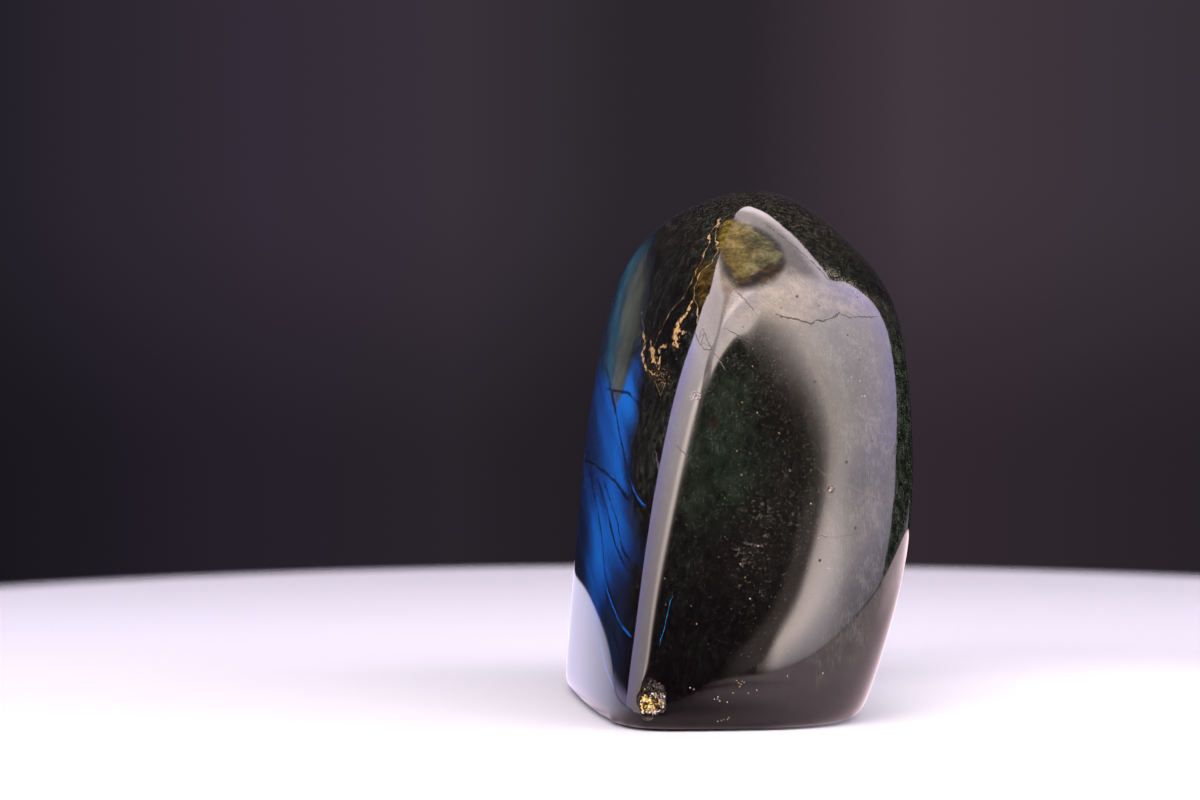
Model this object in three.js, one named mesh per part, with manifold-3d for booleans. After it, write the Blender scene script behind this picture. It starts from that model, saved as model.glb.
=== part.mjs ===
// A palm-size polished labradorite freeform: one natural stone, sawn flat underneath, ground to a
// few broad faces that run into each other over rounded edges, and polished all over.
// Millimetres, +Z up, the sawn base on z = 0. The blue display face looks to -X, the broad side
// face looks to -Y, and the two meet in a leaning ridge.
import * as THREE from 'three';
import { mergeVertices } from 'three/addons/utils/BufferGeometryUtils.js';
import Module from 'manifold-3d';

const wasm = await Module();
wasm.setup();
const { Manifold, Mesh } = wasm;

// Overall height of the stone, from the sawn base to the top of the crown
const HEIGHT = 90;

// The heart is the point inside the stone that every ground face is measured from
const HEART = new THREE.Vector3(1, 0, 42);

// Ground faces. Azimuth 0 looks to -Y and 90 to +X, tilt is how far the face looks up, both in
// degrees. Reach is the distance from the heart to the face.
const GROUND_FACES = [
  { face: 'display face, rear', azimuth: -83, tilt: 4, reach: 27 },
  { face: 'display face, front', azimuth: -71, tilt: 9, reach: 27 },
  { face: 'display face, upper', azimuth: -75, tilt: 17, reach: 26.2 },
  { face: 'ridge', azimuth: -38, tilt: 13, reach: 34.5 },
  { face: 'side face', azimuth: 4, tilt: 6, reach: 35 },
  { face: 'side face, right', azimuth: 37, tilt: 3, reach: 33.9 },
  { face: 'right end', azimuth: 98, tilt: 2, reach: 25.8 },
  { face: 'right end, low', azimuth: 92, tilt: -16, reach: 30 },
  { face: 'foot, front', azimuth: 8, tilt: -20, reach: 53 },
  { face: 'foot, right', azimuth: 68, tilt: -28, reach: 44 },
  { face: 'brow', azimuth: 32, tilt: 26, reach: 36.5 },
  { face: 'shoulder', azimuth: 84, tilt: 46, reach: 40.5 },
  { face: 'back, right', azimuth: 140, tilt: 4, reach: 33 },
  { face: 'back', azimuth: 182, tilt: 6, reach: 36 },
  { face: 'back, left', azimuth: 232, tilt: 6, reach: 37 },
  { face: 'forehead', azimuth: -4, tilt: 46, reach: 40.5 },
  { face: 'crown', azimuth: 0, tilt: 84, reach: 49.5 },
  { face: 'crown, left', azimuth: -70, tilt: 50, reach: 40 },
  { face: 'crown, back', azimuth: 180, tilt: 48, reach: 44 },
];

// How tightly neighbouring ground faces meet: the higher, the sharper the edge between them
const EDGE_TIGHTNESS = 14;

// The same for the rim of the sawn base, which has only a narrow rounded arris
const RIM_TIGHTNESS = 40;

// Points of the sawn base closer to its plane than this lie in it
const BASE_FLATNESS = 0.12;

// A natural pocket at the foot of the ridge, where softer mineral has broken out and left a rough,
// faceted floor. Its middle is given by azimuth and by level above the base.
const POCKET_AZIMUTH = -24;
const POCKET_LEVEL = 5.4;
const POCKET_HALF_WIDTH = 2.7;
const POCKET_HALF_HEIGHT = 3.3;
const POCKET_DEPTH = 1.9;
const POCKET_DETAIL = 3;
const POCKET_ROUGHNESS = 0.22;
const POCKET_LUMPS = 4;

// Grid that is laid over the stone: a box about the heart whose bottom edges fall near the base rim
const GRID_HALF = new THREE.Vector3(27, 34, HEART.z);
const GRID_CELLS = { x: 22, y: 26, z: 32 };

// The search for a level's reach starts this far out and is halved this often
const REACH_SEARCH_LIMIT = 80;
const REACH_SEARCH_HALVINGS = 40;

// Colour and gloss of the polished stone
const STONE_COLOUR = 0x1d2622;
const STONE_ROUGHNESS = 0.08;

function faceNormal({ azimuth, tilt }) {
  const turn = THREE.MathUtils.degToRad(azimuth);
  const rise = THREE.MathUtils.degToRad(tilt);
  return new THREE.Vector3(
    Math.sin(turn) * Math.cos(rise),
    -Math.cos(turn) * Math.cos(rise),
    Math.sin(rise),
  );
}

const groundPlanes = GROUND_FACES.map((ground) => ({
  normal: faceNormal(ground),
  reach: ground.reach,
}));

// How far out a point is, as a share of the way from the heart to the ground faces. Each face alone
// would give a plane; the power sum rounds the edge where two of them meet.
function groundShare(outward) {
  let sum = 0;
  for (const { normal, reach } of groundPlanes) {
    const share = Math.max(0, outward.dot(normal) / reach);
    sum += share ** EDGE_TIGHTNESS;
  }
  return sum ** (1 / EDGE_TIGHTNESS);
}

// Distance from the heart to the surface along a direction, the sawn base included
function surfaceReach(direction) {
  const ground = groundShare(direction);
  const sawn = Math.max(0, -direction.z / HEART.z);
  return (ground ** RIM_TIGHTNESS + sawn ** RIM_TIGHTNESS) ** (-1 / RIM_TIGHTNESS);
}

// Distance from the heart's upright to the ground faces at a level above the base, towards a point
function levelReach(towards, level) {
  const across = new THREE.Vector3(towards.x, towards.y, 0).normalize();
  const probe = new THREE.Vector3();
  let inside = 0;
  let outside = REACH_SEARCH_LIMIT;
  for (let halving = 0; halving < REACH_SEARCH_HALVINGS; halving += 1) {
    const middle = (inside + outside) / 2;
    probe.copy(across).multiplyScalar(middle).setZ(level - HEART.z);
    if (groundShare(probe) < 1) {
      inside = middle;
    } else {
      outside = middle;
    }
  }
  return inside;
}

// The grid box is drawn in or out so that its bottom edges lie on the rim of the sawn base
function fitGridToRim(point) {
  const across = Math.hypot(point.x, point.y);
  if (across === 0) {
    return;
  }
  const edgeShare = Math.max(Math.abs(point.x) / GRID_HALF.x, Math.abs(point.y) / GRID_HALF.y);
  const fit = (levelReach(point, 0) * edgeShare) / across;
  const depth = (GRID_HALF.z - point.z) / (2 * GRID_HALF.z);
  const widen = THREE.MathUtils.lerp(1, fit, depth);
  point.x *= widen;
  point.y *= widen;
}

// Point of the surface that lies in a direction from the heart
function surfacePoint(outward) {
  const direction = outward.clone().normalize();
  return direction.multiplyScalar(surfaceReach(direction)).add(HEART);
}

// The body of mineral that is missing from the pocket: a lumpy ball, half of it outside the stone
function pocketGeometry() {
  const ball = new THREE.IcosahedronGeometry(1, POCKET_DETAIL);
  ball.deleteAttribute('normal');
  ball.deleteAttribute('uv');
  const geometry = mergeVertices(ball);
  const positions = geometry.getAttribute('position');
  const point = new THREE.Vector3();
  for (let index = 0; index < positions.count; index += 1) {
    point.fromBufferAttribute(positions, index);
    const lump = Math.sin(POCKET_LUMPS * point.x) * Math.cos(POCKET_LUMPS * point.z + point.y);
    point.multiplyScalar(1 + POCKET_ROUGHNESS * lump);
    positions.setXYZ(index, point.x, point.y, point.z);
  }
  const towards = faceNormal({ azimuth: POCKET_AZIMUTH, tilt: 0 });
  const middle = towards.clone().multiplyScalar(levelReach(towards, POCKET_LEVEL)).add(HEART);
  geometry.scale(POCKET_HALF_WIDTH, POCKET_DEPTH, POCKET_HALF_HEIGHT);
  geometry.rotateZ(THREE.MathUtils.degToRad(POCKET_AZIMUTH));
  geometry.translate(middle.x, middle.y, POCKET_LEVEL);
  return geometry;
}

function groundGeometry() {
  const grid = new THREE.BoxGeometry(
    2 * GRID_HALF.x,
    2 * GRID_HALF.y,
    2 * GRID_HALF.z,
    GRID_CELLS.x,
    GRID_CELLS.y,
    GRID_CELLS.z,
  );
  grid.deleteAttribute('normal');
  grid.deleteAttribute('uv');
  const geometry = mergeVertices(grid);
  const positions = geometry.getAttribute('position');
  const gridPoint = new THREE.Vector3();
  for (let index = 0; index < positions.count; index += 1) {
    gridPoint.fromBufferAttribute(positions, index);
    fitGridToRim(gridPoint);
    const point = surfacePoint(gridPoint);
    if (point.z < BASE_FLATNESS) {
      point.z = 0;
    }
    positions.setXYZ(index, point.x, point.y, point.z);
  }
  return geometry;
}

function solidOf(geometry) {
  const mesh = new Mesh({
    numProp: 3,
    vertProperties: new Float32Array(geometry.getAttribute('position').array),
    triVerts: new Uint32Array(geometry.getIndex().array),
  });
  return new Manifold(mesh);
}

function geometryOf(solid) {
  const mesh = solid.getMesh();
  const geometry = new THREE.BufferGeometry();
  geometry.setAttribute('position', new THREE.BufferAttribute(mesh.vertProperties, mesh.numProp));
  geometry.setIndex(new THREE.BufferAttribute(mesh.triVerts, 1));
  return geometry;
}

function stoneGeometry() {
  return geometryOf(solidOf(groundGeometry()).subtract(solidOf(pocketGeometry())));
}

// The stone is brought to its height, and its base centre to the origin
function seatOnBase(geometry) {
  geometry.computeBoundingBox();
  const size = HEIGHT / geometry.boundingBox.max.z;
  geometry.scale(size, size, size);
  geometry.computeBoundingBox();
  const middle = geometry.boundingBox.getCenter(new THREE.Vector3());
  geometry.translate(-middle.x, -middle.y, 0);
  geometry.computeVertexNormals();
  return geometry;
}

const polishedStone = new THREE.MeshStandardMaterial({
  color: STONE_COLOUR,
  roughness: STONE_ROUGHNESS,
  metalness: 0,
});

const stone = new THREE.Mesh(seatOnBase(stoneGeometry()), polishedStone);
stone.name = 'stone';

const group = new THREE.Group();
group.add(stone);

export default group;
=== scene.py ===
"""A palm-size polished labradorite freeform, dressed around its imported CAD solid."""

import math
import random

import bpy
import numpy as np
from mathutils import Euler, Matrix, Vector


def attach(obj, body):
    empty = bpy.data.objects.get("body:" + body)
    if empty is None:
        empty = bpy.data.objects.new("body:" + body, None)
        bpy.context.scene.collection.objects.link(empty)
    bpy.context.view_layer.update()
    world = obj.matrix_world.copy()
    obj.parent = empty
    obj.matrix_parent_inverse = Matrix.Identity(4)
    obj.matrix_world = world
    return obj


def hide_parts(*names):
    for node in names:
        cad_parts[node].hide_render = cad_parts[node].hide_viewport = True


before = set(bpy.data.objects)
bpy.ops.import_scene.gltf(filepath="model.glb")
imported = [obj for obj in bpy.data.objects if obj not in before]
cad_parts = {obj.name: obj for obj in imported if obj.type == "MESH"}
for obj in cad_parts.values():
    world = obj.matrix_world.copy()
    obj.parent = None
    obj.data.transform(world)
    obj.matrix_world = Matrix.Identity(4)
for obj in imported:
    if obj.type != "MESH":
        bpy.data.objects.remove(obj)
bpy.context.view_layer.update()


# The polished stone
# One lump of labradorite feldspar, sawn flat underneath, ground to a few broad faces that run into
# each other, and polished all over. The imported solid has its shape, so a finer copy of it shows.
MILLIMETRE = 0.001
MERGE_DISTANCE = 1e-6
QUAD_ANGLE = math.radians(60)
FINER_LEVELS = 2
POCKET_EDGE_ANGLE = math.radians(40)
POCKET_RIM_ANGLE = math.radians(45)
POCKET_RIM_CREASE = 0.7
POCKET_AZIMUTH = math.radians(-24)
POCKET_MIDDLE = Vector((-15.1, -39.1, 5.4))
POCKET_OUT = Vector((math.sin(POCKET_AZIMUTH), -math.cos(POCKET_AZIMUTH), 0))
FAR_OUT = 200

cad_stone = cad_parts["stone"]
stone = bpy.data.objects.new("polished_stone", cad_stone.data.copy())
bpy.context.scene.collection.objects.link(stone)


def pick(piece):
    """Makes one object the only selected and active one."""
    bpy.ops.object.select_all(action="DESELECT")
    piece.select_set(True)
    bpy.context.view_layer.objects.active = piece


pick(stone)
bpy.ops.mesh.customdata_custom_splitnormals_clear()
bpy.ops.object.mode_set(mode="EDIT")
bpy.ops.mesh.select_all(action="SELECT")
bpy.ops.mesh.remove_doubles(threshold=MERGE_DISTANCE)
bpy.ops.mesh.select_mode(type="FACE")
bpy.ops.mesh.select_all(action="DESELECT")
bpy.ops.object.mode_set(mode="OBJECT")
pocket_seed = stone.ray_cast((POCKET_MIDDLE + POCKET_OUT * FAR_OUT) * MILLIMETRE, -POCKET_OUT)[3]
stone.data.polygons[pocket_seed].select = True
bpy.ops.object.mode_set(mode="EDIT")
bpy.ops.mesh.faces_select_linked_flat(sharpness=POCKET_RIM_ANGLE)
bpy.ops.object.mode_set(mode="OBJECT")
in_pocket = np.zeros(len(stone.data.polygons), bool)
stone.data.polygons.foreach_get("select", in_pocket)
pocket_mark = stone.data.attributes.new("pocket", "FLOAT", "FACE")
pocket_mark.data.foreach_set("value", in_pocket.astype(np.float32))
bpy.ops.object.mode_set(mode="EDIT")
bpy.ops.mesh.region_to_loop()
bpy.ops.transform.edge_crease(value=POCKET_RIM_CREASE)
bpy.ops.mesh.mark_sharp()
bpy.ops.mesh.select_all(action="SELECT")
bpy.ops.mesh.tris_convert_to_quads(face_threshold=QUAD_ANGLE, shape_threshold=QUAD_ANGLE, sharp=True)
bpy.ops.object.mode_set(mode="OBJECT")
finer = stone.modifiers.new("finer", "SUBSURF")
finer.levels = FINER_LEVELS
finer.render_levels = FINER_LEVELS
bpy.ops.object.modifier_apply(modifier=finer.name)
bpy.ops.object.shade_smooth_by_angle(angle=POCKET_EDGE_ANGLE)
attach(stone, "root")
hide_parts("stone")


# The grey-green body of the rock
# Dark feldspar, nearly black in the depth, with grey-green clouds and upright cleavage fibres, and
# darker towards the bottom. Every mark that follows is laid over this colour.
BODY_TONES = (
    (0.38, (0.0012, 0.0011, 0.0012)),
    (0.47, (0.0036, 0.0040, 0.0036)),
    (0.55, (0.0095, 0.0118, 0.0092)),
    (0.64, (0.0260, 0.0300, 0.0230)),
)
BODY_LUMP = (15, 15, 20)
BODY_FLAKE = (1.3, 1.3, 2.0)
BODY_FIBRE = (0.22, 0.22, 1.8)
BODY_FIBRE_TURN = (0, math.radians(7), 0)
BODY_WEIGHTS = (0.34, 0.33, 0.33)
SPECKLE_GRAIN = (0.42, 0.42, 0.55)
SPECKLE_COLOUR = (0.075, 0.070, 0.060)
FOOT_COLOUR = (0.0014, 0.0007, 0.0011)
FOOT_SHADE = 0.22
FOOT_LEVELS = (50, 14)
CROWN_GRAIN = (0.8, 0.8, 2.0)
CROWN_LEVELS = (75, 84)
CROWN_TONES = (
    (0.41, (0.001, 0.001, 0.001)), (0.52, (0.009, 0.010, 0.007)), (0.63, (0.040, 0.038, 0.026)),
)
# Painted shade of the display side: a black-brown layer over it where it faces left.
DISPLAY_SHADE_OUTLINE = [(-44, 84), (-44, 4), (-20, 4), (30, 10), (36, 50), (24, 84)]
DISPLAY_SHADE_COLOUR = (0.0020, 0.0013, 0.0009)
POLISH_LUMP = 5
POLISH_ROUGHNESS = (0.027, 0.063)
FRONT_LIMIT = -9
FRONT_FALL = 0.5
DISPLAY_LIMIT = -6
DISPLAY_LEAST_FACING = 0.3
DISPLAY_FACING = (0.32, 0.58)
UNSEEN_DEPTH = -30


class Paint:
    """The nodes of a material or a world. A value is a number, a colour or a node's output."""

    def __init__(self, owner):
        owner.use_nodes = True
        self.owner = owner
        self.tree = owner.node_tree
        self.colour = (0, 0, 0)

    def part(self, name):
        return self.tree.nodes[name]

    def node(self, kind, **settings):
        node = self.tree.nodes.new("ShaderNode" + kind)
        for name, value in settings.items():
            setattr(node, name, value)
        return node

    def feed(self, socket, value):
        if isinstance(value, bpy.types.NodeSocket):
            self.tree.links.new(value, socket)
        elif isinstance(value, tuple) and len(value) == 3 and socket.type == "RGBA":
            socket.default_value = (*value, 1)
        else:
            socket.default_value = value

    def wire(self, node, values):
        """Feeds the inputs of a node, given by name or number."""
        for name, value in values.items():
            self.feed(node.inputs[name], value)

    def made(self, kind, values, output=0, **settings):
        """One output of a new node whose inputs are fed with these values."""
        node = self.node(kind, **settings)
        self.wire(node, values)
        return node.outputs[output]

    def math(self, operation, first, *others):
        """One operation on two values, or on more of them in turn; one value is worked on alone."""
        for second in others or (0.0,):
            first = self.made("Math", {0: first, 1: second}, operation=operation)
        return first

    def add(self, *values):
        return self.math("ADD", *values)

    def times(self, *values):
        return self.math("MULTIPLY", *values)

    def most(self, *values):
        return self.math("MAXIMUM", *values)

    def weigh(self, weights, *values):
        """Sum of the values, each times its weight."""
        return self.add(*(self.times(value, weight) for weight, value in zip(weights, values)))

    def edge(self, value, start, end):
        """0 up to start, 1 from end on, smooth between; start may lie above end."""
        values = {"Value": value, "From Min": start, "From Max": end}
        return self.made("MapRange", values, interpolation_type="SMOOTHSTEP")

    def mix(self, share, first, second):
        """Two colours mixed; a mixing node has its colours at inputs 6 and 7 and output 2."""
        return self.made("Mix", {0: share, 6: first, 7: second}, output=2, data_type="RGBA")

    def lay(self, tone, share, strength=1.0):
        """Lays a colour over what is painted so far."""
        self.colour = self.mix(self.times(share, strength), self.colour, tone)

    def blend(self, share, first, second):
        """Two numbers mixed; a mixing node has its numbers at inputs 2 and 3 and output 0."""
        return self.made("Mix", {0: share, 2: first, 3: second}, data_type="FLOAT")

    def tones(self, value, stops):
        ramp = self.node("ValToRGB")
        points = ramp.color_ramp.elements
        while len(points) < len(stops):
            points.new(1)
        for point, (position, colour) in zip(points, stops):
            point.position = position
            point.color = (*colour, 1)
        self.feed(ramp.inputs[0], value)
        return ramp.outputs[0]

    def field(self, name):
        return self.made("Attribute", {}, output="Fac", attribute_name=name)

    def cells(self, size, turn=(0, 0, 0)):
        """Object coordinates in cells of this size in millimetres, turned as a whole."""
        sides = size if isinstance(size, tuple) else (size, size, size)
        scale = tuple(MILLIMETRE * side for side in sides)
        here = self.made("TexCoord", {}, output="Object")
        values = {"Vector": here, "Rotation": turn, "Scale": scale}
        return self.made("Mapping", values, vector_type="TEXTURE")

    def grain(self, size, turn=(0, 0, 0), detail=2.0, rough=0.5):
        """Noise from 0 to 1 whose lumps have this size in millimetres."""
        values = {"Vector": self.cells(size, turn), "Scale": 1.0, "Detail": detail, "Roughness": rough}
        return self.made("TexNoise", values)

    def sway(self, size, reach, turn=(0, 0, 0), detail=2.0):
        """Noise about zero that swings by about this reach to each side."""
        return self.times(self.math("SUBTRACT", self.grain(size, turn, detail), 0.5), 2 * reach)

    def ragged(self, depth, lump, reach, start, end, detail=3):
        """Share of an area whose edge sways by about this reach."""
        return self.edge(self.add(depth, self.sway(lump, reach, detail=detail)), start, end)

    def spots(self, size, share, radius, soft=0.05):
        """Scattered dots: one cell in so many has a dot of this radius, in cell sizes."""
        voronoi = self.node("TexVoronoi")
        self.wire(voronoi, {"Vector": self.cells(size), "Scale": 1.0})
        split = self.node("SeparateColor")
        self.feed(split.inputs[0], voronoi.outputs["Color"])
        chosen = self.math("LESS_THAN", split.outputs[0], share)
        wide = self.times(self.add(split.outputs[1], 0.4), radius)
        near = self.math("SUBTRACT", voronoi.outputs["Distance"], wide)
        return self.times(chosen, self.edge(near, soft, -soft))


def read_vectors(collection, name):
    values = np.zeros(len(collection) * 3)
    collection.foreach_get(name, values)
    return values.reshape(-1, 3)


def outline_depth(across, up, outline):
    """Millimetres inside a closed outline, negative outside it."""
    near = np.full(len(across), np.inf)
    inside = np.zeros(len(across), bool)
    for (x0, y0), (x1, y1) in zip(outline, outline[1:] + outline[:1]):
        dx = x1 - x0
        dy = y1 - y0
        share = np.clip(((across - x0) * dx + (up - y0) * dy) / (dx * dx + dy * dy), 0, 1)
        near = np.minimum(near, np.hypot(across - x0 - share * dx, up - y0 - share * dy))
        if dy:
            between = (y0 > up) != (y1 > up)
            inside ^= between & (across < x0 + (up - y0) * dx / dy)
    return np.where(inside, near, -near)


rock = Paint(bpy.data.materials.new("polished_labradorite"))
places = read_vectors(stone.data.vertices, "co") / MILLIMETRE
normals = read_vectors(stone.data.vertices, "normal")
on_display = (places[:, 0] < DISPLAY_LIMIT) & (normals[:, 0] < -DISPLAY_LEAST_FACING)


def stored(values):
    """Keeps one number per point of the stone, and returns it as the material reads it."""
    layer = stone.data.attributes.new(f"field_{len(stone.data.attributes)}", "FLOAT", "POINT")
    layer.data.foreach_set("value", np.asarray(values, np.float32))
    return rock.field(layer.name)


def front_depth(outline):
    """Depth in an outline given as (x, z), falling off behind the side that looks to the front."""
    depth = outline_depth(places[:, 0], places[:, 2], outline)
    return stored(depth - FRONT_FALL * np.maximum(places[:, 1] - FRONT_LIMIT, 0))


def display_depth(outline):
    """Depth in an outline given as (y, z), on the side that shows the blue flash."""
    depth = outline_depth(places[:, 1], places[:, 2], outline)
    return stored(np.where(on_display, depth, UNSEEN_DEPTH))


def lay_front(tone, outline, strength=1.0, **edge):
    """Lays a colour over an outline of the front; edge says how ragged it is."""
    rock.lay(tone, rock.ragged(front_depth(outline), **edge), strength)


fibre = rock.grain(BODY_FIBRE, BODY_FIBRE_TURN, detail=3)
flake = rock.grain(BODY_FLAKE, detail=5, rough=0.6)
lump = rock.grain(BODY_LUMP, detail=3)
rock.colour = rock.tones(rock.weigh(BODY_WEIGHTS, lump, flake, fibre), BODY_TONES)
speckle = rock.grain(SPECKLE_GRAIN, detail=3, rough=0.7)
rock.lay(SPECKLE_COLOUR, rock.edge(speckle, 0.58, 0.74), strength=0.8)
place = rock.node("SeparateXYZ")
rock.feed(place.inputs[0], rock.cells(1))
level = place.outputs["Z"]
# Darker towards the bottom, with a purple-black tint.
rock.lay(rock.mix(FOOT_SHADE, FOOT_COLOUR, rock.colour), rock.edge(level, *FOOT_LEVELS))
crown_tone = rock.grain(CROWN_GRAIN, detail=5, rough=0.66)
rock.lay(rock.tones(crown_tone, CROWN_TONES), rock.edge(level, *CROWN_LEVELS), strength=0.5)
facing_left = rock.edge(stored(-normals[:, 0]), *DISPLAY_FACING)
# Painted shade: the display side is darkened towards black-brown where it faces left, in patches that follow
# the flake grain.
display_shade = rock.times(rock.edge(display_depth(DISPLAY_SHADE_OUTLINE), 0, 3), rock.edge(flake, 0.62, 0.44))
rock.lay(DISPLAY_SHADE_COLOUR, rock.times(display_shade, facing_left), strength=0.55)
gloss = rock.blend(rock.grain(POLISH_LUMP, detail=3), *POLISH_ROUGHNESS)


# The grey clouds of the side face
# Cleavage cracks too fine to see make the rock paler in places: a green cloud in the middle of the
# dark front, a brown-black shade beside it, and a thin upright haze over the right of the face.
CLOUD_OUTLINE = [(-9, 50), (-5, 58), (-0.5, 55), (2, 46), (0.5, 38), (-6, 35), (-10, 42)]
CLOUD_TONES = (
    (0.38, (0.003, 0.005, 0.003)), (0.50, (0.010, 0.016, 0.010)), (0.61, (0.026, 0.036, 0.025)),
)
CLOUD_WEIGHTS = (0.45, 0.25, 0.30)
CLOUD_MOTTLE = (3.5, 3.5, 5)
SHADE_OUTLINE = [(1, 62), (7, 58), (13, 46), (12, 34), (6, 24), (-4, 22), (-6, 33), (2, 38), (3, 50)]
SHADE_COLOUR = (0.0050, 0.0040, 0.0038)
HAZE_OUTLINE = [(10, 66), (24, 69), (28, 52), (28, 26), (22, 12), (12, 8), (15, 30), (16, 46), (12, 58)]
HAZE_TONES = (
    (0.39, (0.001, 0.002, 0.001)), (0.50, (0.016, 0.020, 0.016)), (0.61, (0.062, 0.067, 0.058)),
)
HAZE_WEIGHTS = (0.30, 0.30, 0.40)
END_OUTLINE = [(25.4, 66), (31, 64), (31, 18), (25, 20), (25.4, 44)]
END_TONES = (
    (0.42, (0.001, 0.002, 0.001)), (0.50, (0.006, 0.010, 0.006)), (0.60, (0.028, 0.038, 0.024)),
)
END_WEIGHTS = (0.5, 0.5)
FINE_FIBRE = (0.24, 0.24, 1.3)

fine_fibre = rock.grain(FINE_FIBRE, BODY_FIBRE_TURN, detail=3)
mottle = rock.grain(CLOUD_MOTTLE, detail=4)
cloud = rock.tones(rock.weigh(CLOUD_WEIGHTS, mottle, flake, fine_fibre), CLOUD_TONES)
haze = rock.tones(rock.weigh(HAZE_WEIGHTS, mottle, flake, fine_fibre), HAZE_TONES)
right_end = rock.tones(rock.weigh(END_WEIGHTS, speckle, flake), END_TONES)
lay_front(SHADE_COLOUR, SHADE_OUTLINE, strength=0.5, lump=(6, 6, 8), reach=5, start=-4, end=5)
lay_front(cloud, CLOUD_OUTLINE, strength=0.8, lump=(5, 5, 7), reach=6, start=-6, end=7, detail=4)
lay_front(haze, HAZE_OUTLINE, strength=0.75, lump=(5, 5, 10), reach=4, start=-4, end=6)
lay_front(right_end, END_OUTLINE, strength=0.8, lump=(3, 3, 5), reach=1.5, start=-1, end=1.5)


# The blue flash of the display face
# Light that comes back from thin layers inside the feldspar. It is brightest along the middle of
# the face, turns navy towards the ridge, teal at the top, and black cracks run through it.
FLASH_OUTLINE = [
    (-12, 60.5), (-15.7, 55.6), (-17.5, 51), (-19, 46), (-20.5, 42), (-24, 38), (-27.6, 34.3), (-30, 30.6),
    (-31.5, 26.7), (-31.6, 22.7), (-33, 15.5), (-34.5, 8), (-26, 8), (-12, 13), (6, 15), (34, 18), (36, 40),
    (34, 56), (22, 66), (0, 63),
]
FLASH_AXIS = [(-5.2, 58), (-10.7, 47.4), (-12.5, 39.4), (-12, 31), (-12, 25)]
FLASH_TONES = (
    (0.16, (0.004, 0.008, 0.022)),
    (0.32, (0.004, 0.016, 0.066)),
    (0.50, (0.004, 0.042, 0.185)),
    (0.72, (0.006, 0.092, 0.360)),
)
FLASH_TURN = (math.radians(-64), 0, 0)
FLASH_SWAYS = (5, 4)
FLASH_LOW_WEIGHTS = (1, 0.3)
FLASH_WEIGHTS = (0.34, 0.26, 0.42, 0.34)
TEAL_OUTLINE = [
    (22, 60), (24, 74), (14, 84), (-2, 76), (-9, 65), (-7.8, 58), (-6.8, 54.3), (-5.1, 51.4), (0, 54),
    (6, 57), (14, 58),
]
TEAL_AXIS = [(5, 74), (4, 70), (1, 65), (-1.5, 60), (-4.5, 55), (-5.5, 51.5)]
TEAL_GRAIN = (2.5, 3.5, 5)
TEAL_BLUE = ((0.35, (0.012, 0.044, 0.066)), (0.65, (0.022, 0.078, 0.118)))
TEAL_GREY = ((0.35, (0.034, 0.046, 0.040)), (0.65, (0.060, 0.074, 0.062)))
TEAL_OLIVE = ((0.35, (0.014, 0.020, 0.018)), (0.65, (0.038, 0.046, 0.038)))
TEAL_NAVY = (0.006, 0.016, 0.034)
DISPLAY_CRACKS = [
    [(8, 58.6), (5, 57), (-5, 51.6), (-14.4, 45.5), (-20.8, 41), (-25.9, 37.8), (-29.4, 35.6)],
    [(14, 42), (2, 41.7), (-6.1, 40.9), (-15.1, 39.5), (-23.1, 37.2)],
]
FAN_CRACKS = [
    [
        [(4.8, 54.9), (-10.3, 54.8), (-20, 52.6)],
        [(6, 40.1), (-5.5, 34.2), (-11.7, 29.5), (-16.9, 24.2), (-25.6, 19.3), (-32.8, 14.5)],
    ],
    [
        [(-1.8, 39.5), (-13, 34.2), (-20.2, 29.6), (-28.2, 25.8), (-31.8, 25.3)],
        [(-18.2, 22), (-23.4, 18.1), (-30, 13), (-34.5, 8.1)],
    ],
    [[(-7.6, 39), (-19.1, 33.5), (-24.2, 29.3), (-30.4, 26.6)]],
]
BLUE_STRANDS = [
    [(-20.2, 41.4), (-24.5, 38.9), (-29, 36.8)],
    [(-19.5, 21.8), (-28.6, 17.3), (-33, 15.5)],
    [(-19.7, 12.6), (-25.6, 9), (-30.6, 6.4)],
]
STRAND_COLOUR = (0.005, 0.085, 0.360)
CRACK_COLOUR = (0.002, 0.002, 0.003)
PATH_STEP = 0.8
LINE_FADE = 0.8


def front_point(x, z):
    """Point of the surface seen straight from the front at (x, z), in millimetres."""
    start = Vector((x, -FAR_OUT, z)) * MILLIMETRE
    return np.array(stone.ray_cast(start, Vector((0, 1, 0)))[1]) / MILLIMETRE


def display_point(y, z):
    """Point of the surface seen straight from the display side at (y, z), in millimetres."""
    start = Vector((-FAR_OUT, y, z)) * MILLIMETRE
    return np.array(stone.ray_cast(start, Vector((1, 0, 0)))[1]) / MILLIMETRE


def laid_on(path, surface_point):
    """A path given by two coordinates, laid on the stone in short steps."""
    laid = [surface_point(*path[0])]
    for (a0, b0), (a1, b1) in zip(path, path[1:]):
        steps = max(1, math.ceil(math.hypot(a1 - a0, b1 - b0) / PATH_STEP))
        for step in range(1, steps + 1):
            share = step / steps
            laid.append(surface_point(a0 + share * (a1 - a0), b0 + share * (b1 - b0)))
    return laid


def line_fields(paths, surface_point):
    """How far to one side of the nearest path each point is, and how far from it."""
    reach = np.full(len(places), float(FAR_OUT))
    aside = np.full(len(places), float(FAR_OUT))
    for path in paths:
        laid = laid_on(path, surface_point)
        for start, end in zip(laid, laid[1:]):
            run = end - start
            away = places - start
            share = np.clip(away @ run / (run @ run), 0, 1)
            away = away - share[:, None] * run
            distance = np.linalg.norm(away, axis=1)
            side = np.sign((np.cross(run, normals) * away).sum(1))
            nearer = distance < reach
            aside = np.where(nearer, side * distance, aside)
            reach = np.where(nearer, distance, reach)
    return stored(aside), stored(reach)


def thin_lines(paths, wander, half_width, soft, limit, surface_point=front_point):
    """Share of thin lines that wander about their paths; half_width may be a node's output."""
    aside, reach = line_fields(paths, surface_point)
    near = rock.math("SUBTRACT", rock.math("ABSOLUTE", rock.add(aside, wander)), half_width)
    return rock.times(rock.edge(near, soft, -soft), rock.edge(reach, limit, limit * LINE_FADE))


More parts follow.
